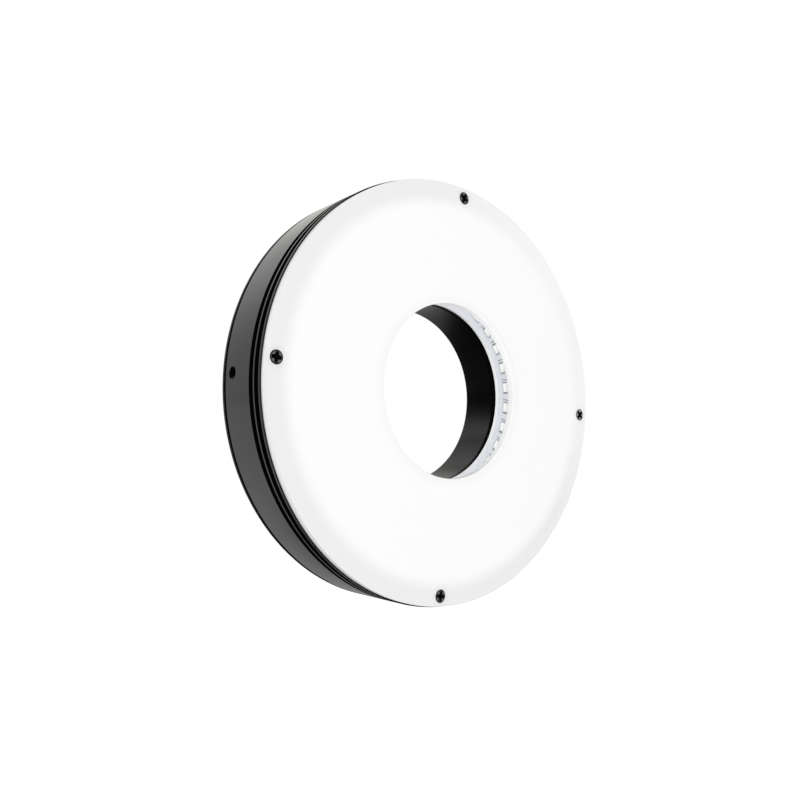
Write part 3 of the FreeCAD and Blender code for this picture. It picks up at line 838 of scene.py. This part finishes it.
def make_housing():
    """Housing with all its holes."""
    behind_seam = COVER_HEIGHT - OVERRUN
    behind_floor = FLOOR_REAR_HEIGHT - OVERRUN
    over_seat = SEAT_HEIGHT + OVERRUN
    front_hole = drill(TAPPED_RADIUS, RIM_HEIGHT - FRONT_TAPPED_DEPTH, RIM_HEIGHT + OVERRUN)
    rear_hole = drill(TAPPED_RADIUS, behind_seam, COVER_HEIGHT + REAR_TAPPED_DEPTH)
    mount_hole = threaded(REAR_MOUNT_RADIUS, REAR_MOUNT_THREAD_DEPTH, REAR_MOUNT_PITCH, behind_seam,
                          COVER_HEIGHT + REAR_MOUNT_DEPTH)
    board_hole = drill(TAPPED_RADIUS, behind_floor, over_seat)
    spacer_hole = drill(TAPPED_RADIUS, behind_floor, FLOOR_REAR_HEIGHT + SPACER_TAPPED_DEPTH)
    lead_hole = drill(LEAD_HOLE_RADIUS, behind_floor, over_seat)
    side_hole = side_mount_tool()
    tools = on_circle(front_hole, SCREW_CIRCLE, DIFFUSER_SCREW_ANGLES)
    tools += on_circle(rear_hole, SCREW_CIRCLE, COVER_SCREW_ANGLES)
    tools += on_circle(mount_hole, SCREW_CIRCLE, REAR_MOUNT_ANGLES)
    tools += on_circle(board_hole, BOARD_SCREW_RADIUS, BOARD_SCREW_ANGLES)
    tools += [moved(spacer_hole, at(radius, angle)) for radius, angle in SPACER_PLACES]
    tools += [moved(lead_hole, at(LEAD_RADIUS, 0.0))]
    tools += [moved(side_hole, radial(angle, SIDE_MOUNT_HEIGHT)) for angle in SIDE_MOUNT_ANGLES]
    tools += [moved(gland_seat_tool(), radial(0.0, GLAND_HEIGHT))]
    piece("turned_housing", [combined(housing_shape(), tools, "DIFFERENCE")], "black_anodised",
          ["housing"])


# Screws
def countersunk_tool(thickness):
    """Countersunk hole in a plate whose face is at height 0, cut from above."""
    head = HEAD_RADIUS + HEAD_CLEARANCE
    clear = THREAD_RADIUS + SCREW_CLEARANCE
    foot = -thickness - OVERRUN
    return turned([(0.0, foot), (clear, foot), (clear, clear - head), (head, 0.0), (head, OVERRUN),
                   (0.0, OVERRUN)], SMALL_TURN_STEPS)


def recess_outline(reach, half, inner):
    """Cross of four arms: how far they reach, half their width, and the fillet between them."""
    neck = half + inner
    shoulder = reach - ARM_CHAMFER
    tip = half - ARM_CHAMFER
    arm = [(neck, -half), (shoulder, -half), (reach, -tip), (reach, tip), (shoulder, half), (neck, half)]
    points = []
    for k in range(4):
        turn = Matrix.Rotation(k * math.pi / 2.0, 2)
        points += [turn @ Vector(corner) for corner in arm]
    return points


def recess_tool():
    """Cross recess, whose arms grow narrower and shorter towards the bottom."""
    mesh = bmesh.new()
    rings = []
    for height, reach, half, inner in RECESS_LEVELS:
        rings.append([mesh.verts.new((p.x, p.y, height)) for p in recess_outline(reach, half, inner)])
    count = len(rings[0])
    mesh.faces.new(rings[0])
    mesh.faces.new(rings[-1])
    for upper, lower in zip(rings, rings[1:]):
        for i in range(count):
            j = (i + 1) % count
            mesh.faces.new((upper[i], upper[j], lower[j], lower[i]))
    bmesh.ops.recalc_face_normals(mesh, faces=mesh.faces)
    return mesh


def countersunk_screw():
    """Screw with the top of its head at height 0; the shank points down."""
    cone_foot = THREAD_RADIUS - HEAD_RADIUS
    body = turned(rounded([(0.0, -SCREW_LENGTH, 0.0), (THREAD_RADIUS, -SCREW_LENGTH, SCREW_END_ROUNDING),
                           (THREAD_RADIUS, cone_foot, SCREW_NECK_ROUNDING),
                           (HEAD_RADIUS, -HEAD_SLOPE_DROP, 0.0),
                           (HEAD_RADIUS - HEAD_SLOPE_WIDTH, 0.0, HEAD_ROUNDING), (0.0, 0.0, 0.0)]),
                  SMALL_TURN_STEPS)
    return combined(body, [recess_tool()], "DIFFERENCE")


def make_screws():
    """Screws of the diffuser at the front and of the cover at the rear."""
    screw = countersunk_screw()
    facing_rear = moved(screw, FLIPPED @ at(0.0, COVER_RECESS_ANGLE))
    piece("diffuser_screw_set", [moved(screw, at(SCREW_CIRCLE, angle, FRONT_HEIGHT, turn))
                                 for angle, turn in DIFFUSER_SCREWS], "black_steel", ["diffuser_screws"])
    piece("cover_screw_set", on_circle(facing_rear, SCREW_CIRCLE, COVER_SCREW_ANGLES), "black_steel",
          ["rear_cover_screws"])


# Rear cover
def make_cover():
    """Flat ring with countersunk holes for its screws and clear holes over the rear mounting holes."""
    inner = SPIGOT_RADIUS + COVER_GAP
    edge = COVER_REAR_EDGE
    seam = COVER_SEAM_CHAMFER
    at_wall, at_seam = COVER_SEAM_ROUNDINGS
    plate = turned(rounded([(inner, 0.0, COVER_BORE_ROUNDING),
                            (HOUSING_RADIUS - edge, 0.0, COVER_EDGE_ROUNDING),
                            (HOUSING_RADIUS, edge, COVER_EDGE_ROUNDING),
                            (HOUSING_RADIUS, COVER_HEIGHT - seam, at_wall),
                            (HOUSING_RADIUS - seam, COVER_HEIGHT, at_seam), (inner, COVER_HEIGHT, 0.0)]))
    sink = moved(countersunk_tool(COVER_HEIGHT), FLIPPED)
    clear = drill(REAR_MOUNT_COVER_RADIUS, -OVERRUN, COVER_HEIGHT + OVERRUN)
    tools = on_circle(sink, SCREW_CIRCLE, COVER_SCREW_ANGLES)
    tools += on_circle(clear, SCREW_CIRCLE, REAR_MOUNT_ANGLES)
    piece("back_cover", [combined(plate, tools, "DIFFERENCE")], "black_anodised", ["rear_cover"])


# Diffuser
def make_diffuser():
    """Opal ring with countersunk screw holes."""
    hole = DIFFUSER_HOLE_RADIUS
    plate = turned(rounded([(hole, RIM_HEIGHT, DIFFUSER_REAR_ROUNDING),
                            (DIFFUSER_RADIUS, RIM_HEIGHT, DIFFUSER_REAR_ROUNDING),
                            (DIFFUSER_RADIUS, FRONT_HEIGHT, DIFFUSER_RIM_ROUNDING),
                            (hole, FRONT_HEIGHT, DIFFUSER_HOLE_ROUNDING)], FINE_ROUNDING_CUTS))
    sink = moved(countersunk_tool(FRONT_HEIGHT - RIM_HEIGHT), at(0.0, 0.0, FRONT_HEIGHT))
    tools = on_circle(sink, SCREW_CIRCLE, DIFFUSER_SCREW_ANGLES)
    made = piece("opal_diffuser", [combined(plate, tools, "DIFFERENCE")], "opal_acrylic", ["diffuser_plate"])
    # The lamp's light passes through the opal plate to the board behind it
    made.visible_shadow = False


# Light board with its inner ring of packages
def make_board():
    """White ring with its screw holes and the two holes for the wires."""
    behind = SEAT_HEIGHT - OVERRUN
    before = BOARD_FRONT_HEIGHT + OVERRUN
    plate = turned(rounded([(BOARD_INNER_RADIUS, SEAT_HEIGHT, BOARD_REAR_ROUNDING),
                            (BOARD_OUTER_RADIUS, SEAT_HEIGHT, BOARD_REAR_ROUNDING),
                            (BOARD_OUTER_RADIUS, BOARD_FRONT_HEIGHT, BOARD_FRONT_ROUNDING),
                            (BOARD_INNER_RADIUS, BOARD_FRONT_HEIGHT, BOARD_FRONT_ROUNDING)]))
    screw_hole = drill(THREAD_RADIUS + SCREW_CLEARANCE, behind, before)
    wire_hole = drill(WIRE_HOLE_RADIUS, behind, before, WIRE_TURN_STEPS)
    tools = on_circle(screw_hole, BOARD_SCREW_RADIUS, BOARD_SCREW_ANGLES)
    for side in (-1.0, 1.0):
        tools.append(moved(wire_hole, Matrix.Translation((LEAD_RADIUS, side * LEAD_OFFSET, 0.0))))
    piece("light_board", [combined(plate, tools, "DIFFERENCE")], "white_board", ["led_board"])


def around_ring(mesh, radius, offset, height):
    """Copies of a mesh at every package of the inner ring, shifted along the ring."""
    step = 360.0 / RING_PACKAGES
    shift = Matrix.Translation((0.0, offset, 0.0))
    return [moved(mesh, at(radius, PACKAGE_ANGLE + i * step, height) @ shift) for i in range(RING_PACKAGES)]


def make_ring():
    """Packages of the inner ring, with their windows, terminals and polarity marks."""
    body = block(PACKAGE_SIZE, PACKAGE_ROUNDING)
    piece("inner_packages", around_ring(body, RING_RADIUS, 0.0, BOARD_FRONT_HEIGHT), "package_white",
          ["led_ring_1"])
    window = block(WINDOW_SIZE, WINDOW_ROUNDING)
    piece("inner_windows", around_ring(window, RING_RADIUS, 0.0, BOARD_FRONT_HEIGHT + PACKAGE_SIZE[2]),
          "phosphor", ["led_windows_1"])
    terminal = block(TERMINAL_SIZE, TERMINAL_ROUNDING)
    reach = (PACKAGE_SIZE[1] + TERMINAL_SIZE[1]) / 2.0
    pairs = []
    for side in (-1.0, 1.0):
        pairs += around_ring(terminal, RING_RADIUS, side * reach, BOARD_FRONT_HEIGHT)
    piece("inner_terminals", pairs, "tin", ["led_terminals_1"])
    mark = block(MARK_SIZE, MARK_ROUNDING)
    piece("polarity_marks", around_ring(mark, MARK_RADIUS, MARK_OFFSET, BOARD_FRONT_HEIGHT), "tin")


# Cord gland
def gland_body():
    """Threaded tube with a collar; its neck reaches into the cap."""
    at_seat, at_end = COLLAR_ROUNDINGS
    return turned(rounded([(GLAND_BORE_RADIUS, CAVITY_RADIUS, GLAND_BORE_ROUNDING),
                           (GLAND_THREAD_RADIUS, CAVITY_RADIUS, GLAND_END_ROUNDING),
                           (GLAND_THREAD_RADIUS, SPOT_FACE_RADIUS, 0.0),
                           (COLLAR_RADIUS, SPOT_FACE_RADIUS, at_seat), (COLLAR_RADIUS, COLLAR_END, at_end),
                           (NECK_RADIUS, COLLAR_END, NECK_ROUNDING),
                           (NECK_RADIUS, NECK_END, GLAND_END_ROUNDING),
                           (GLAND_BORE_RADIUS, NECK_END, GLAND_BORE_ROUNDING)]), GLAND_TURN_STEPS)


def gland_cap():
    """Hexagonal nut whose corners are turned off, with room for the neck and a mouth for the cord."""
    corner = corner_radius(CAP_FLATS)
    at_shoulder, at_mouth = CAP_SHOULDER_ROUNDINGS
    dome = turned(rounded([(0.0, CAP_START, 0.0), (corner - CAP_FOOT_CHAMFER, CAP_START, 0.0),
                           (corner, CAP_START + CAP_FOOT_CHAMFER, 0.0),
                           (corner, CAP_END - CAP_SHOULDER_HEIGHT, at_shoulder),
                           (corner - CAP_SHOULDER_WIDTH, CAP_END, at_mouth), (0.0, CAP_END, 0.0)],
                          FINE_ROUNDING_CUTS), GLAND_TURN_STEPS)
    shell = combined(hexagon(CAP_FLATS, CAP_START, CAP_END), [dome], "INTERSECT")
    room = NECK_RADIUS + GLAND_CLEARANCE
    start = CAP_START - OVERRUN
    step = CAP_END - CAP_MOUTH
    end = CAP_END + OVERRUN
    inside = turned([(0.0, start), (room, start), (room, step), (GLAND_BORE_RADIUS, step),
                     (GLAND_BORE_RADIUS, end), (0.0, end)], GLAND_TURN_STEPS)
    return combined(shell, [inside], "DIFFERENCE")


def gland_seal():
    """Rubber ring between the neck and the cap's mouth."""
    at_bore, outside = SEAL_ROUNDINGS
    mouth = CAP_END - CAP_MOUTH
    return turned(rounded([(GLAND_BORE_RADIUS, NECK_END, at_bore), (NECK_RADIUS, NECK_END, outside),
                           (NECK_RADIUS, mouth, outside), (GLAND_BORE_RADIUS, mouth, at_bore)]),
                  GLAND_TURN_STEPS)


def make_gland():
    """Cord gland's body, cap and seal."""
    outward = radial(0.0, GLAND_HEIGHT)
    piece("inlet_body", [moved(gland_body(), outward)], "black_nylon", ["gland_body"])
    piece("inlet_cap", [moved(gland_cap(), outward)], "black_nylon", ["gland_cap"])
    piece("inlet_seal", [moved(gland_seal(), outward)], "seal_rubber", ["gland_seal"])


# Light
def make_world():
    """White room. What shiny surfaces reflect of it is white behind the light and dark elsewhere."""
    world = bpy.data.worlds.new("studio")
    bpy.context.scene.world = world
    world.use_nodes = True
    tree = world.node_tree
    coordinates = tree.nodes.new("ShaderNodeTexCoord")
    parts = tree.nodes.new("ShaderNodeSeparateXYZ")
    link(tree, coordinates.outputs["Generated"], parts.inputs["Vector"])
    across, back, up = (parts.outputs[name] for name in "XYZ")
    behind = ramp(tree, back, *WHITE_BEHIND, 0.0, 1.0, soft=True)
    # Towards the left the white ends in two steps, and high up and at the upper right it grows weaker
    left = total(tree, *(ramp(tree, across, start, end, 0.0, share, soft=True)
                         for start, end, share in LEFT_STEPS))
    high = ramp(tree, up, *HIGH_ZONE, 1.0, HIGH_LEVEL, soft=True)
    corner = ramp(tree, total(tree, across, up), *CORNER_ZONE, 1.0, CORNER_LEVEL, soft=True)
    reflected = product(tree, product(tree, behind, left), product(tree, high, corner))
    path = tree.nodes.new("ShaderNodeLightPath")
    glossy = path.outputs["Is Glossy Ray"]
    shown = calculated(tree, "MAXIMUM", path.outputs["Is Camera Ray"], path.outputs["Is Transmission Ray"])
    shown = calculated(tree, "MAXIMUM", shown, product(tree, glossy, reflected))
    lighting = ramp(tree, path.outputs["Is Diffuse Ray"], 0.0, 1.0, 0.0, ROOM_LIGHT)
    background = tree.nodes["Background"]
    # To the right the reflected white is a little warmer
    warm = product(tree, glossy, ramp(tree, across, *WARM_ZONE, 0.0, 1.0))
    link(tree, mix_colours(tree, warm, WHITE, WARM_WHITE), background.inputs["Color"])
    link(tree, total(tree, shown, lighting), background.inputs["Strength"])


def make_lamp():
    """Square soft lamp that points at the middle of the light and shows in no reflection."""
    data = bpy.data.lights.new("key", "AREA")
    data.shape = "SQUARE"
    data.size = KEY_SIZE
    data.energy = KEY_POWER
    lamp = bpy.data.objects.new("key", data)
    turn = KEY_PLACE.to_track_quat("Z", "Y").to_matrix().to_4x4()
    lamp.matrix_world = Matrix.Translation(KEY_PLACE) @ turn
    bpy.context.scene.collection.objects.link(lamp)
    lamp.visible_glossy = False
    lamp.visible_camera = False


def make_flag():
    """Black net under the light that only darkens what shiny surfaces reflect of the floor.

    It is closed below the light and in front of it; behind a curved edge it lets most light pass.
    """
    material, tree, shader = new_material("net")
    weave = noise(tree, scale=40.0)
    link(tree, mix_colours(tree, weave, *NET_COLOURS), shader.inputs["Base Color"])
    shader.inputs["Roughness"].default_value = 1.0
    shader.inputs["Specular IOR Level"].default_value = 0.0
    coordinates = tree.nodes.new("ShaderNodeTexCoord")
    parts = tree.nodes.new("ShaderNodeSeparateXYZ")
    link(tree, coordinates.outputs["Object"], parts.inputs["Vector"])
    sideways = product(tree, calculated(tree, "SUBTRACT", parts.outputs["X"], NET_MIDDLE), NET_SLOPE)
    edge = calculated(tree, "SQRT", total(tree, product(tree, sideways, sideways), NET_EDGE * NET_EDGE))
    behind_edge = calculated(tree, "SUBTRACT", parts.outputs["Y"], edge)
    closed = ramp(tree, behind_edge, -NET_SOFTNESS, NET_SOFTNESS, 1.0, 0.0, soft=True)
    thin = ramp(tree, parts.outputs["X"], *NET_CHANGE, NET_COVER_LEFT, NET_COVER_RIGHT, soft=True)
    cover = calculated(tree, "MAXIMUM", closed, thin)
    gap = tree.nodes.new("ShaderNodeBsdfTransparent")
    blend = tree.nodes.new("ShaderNodeMixShader")
    link(tree, cover, blend.inputs["Fac"])
    link(tree, gap.outputs["BSDF"], blend.inputs[1])
    link(tree, shader.outputs["BSDF"], blend.inputs[2])
    link(tree, blend.outputs["Shader"], tree.nodes["Material Output"].inputs["Surface"])
    net = flat_square("net", FLOOR_HALF, NET_LEVEL, material)
    net.visible_camera = False
    net.visible_diffuse = False
    net.visible_transmission = False
    net.visible_shadow = False


def flat_square(name, half, height, material):
    """Level square of the studio, which isn't part of the light."""
    corners = [(-half, -half, 0.0), (half, -half, 0.0), (half, half, 0.0), (-half, half, 0.0)]
    data = bpy.data.meshes.new(name)
    data.from_pydata(corners, [], [(0, 1, 2, 3)])
    data.materials.append(material)
    made = bpy.data.objects.new(name, data)
    made.location.z = height
    bpy.context.scene.collection.objects.link(made)
    return made


def make_floor():
    """Pale floor well below the light. It looks white, and still shows the light's soft shadow."""
    material, tree, shader = new_material("studio_floor")
    grains = noise(tree, scale=6.0)
    link(tree, mix_colours(tree, grains, *FLOOR_COLOURS), shader.inputs["Base Color"])
    shader.inputs["Roughness"].default_value = FLOOR_ROUGHNESS
    shader.inputs["Specular IOR Level"].default_value = 0.0
    shader.inputs["Emission Color"].default_value = (1.0, 1.0, 1.0, 1.0)
    path = tree.nodes.new("ShaderNodeLightPath")
    seen = path.outputs["Is Camera Ray"]
    for name in ("Is Glossy Ray", "Is Transmission Ray"):
        seen = calculated(tree, "MAXIMUM", seen, path.outputs[name])
    link(tree, ramp(tree, seen, 0.0, 1.0, 0.0, FLOOR_LIFT), shader.inputs["Emission Strength"])
    flat_square("floor", FLOOR_HALF, FLOOR_LEVEL, material)


make_camera()
make_world()
make_lamp()
make_flag()
make_floor()
dress_nodes()
make_housing()
make_cover()
make_screws()
make_diffuser()
make_board()
make_ring()
make_gland()

bpy.context.scene.view_settings.view_transform = "Standard"
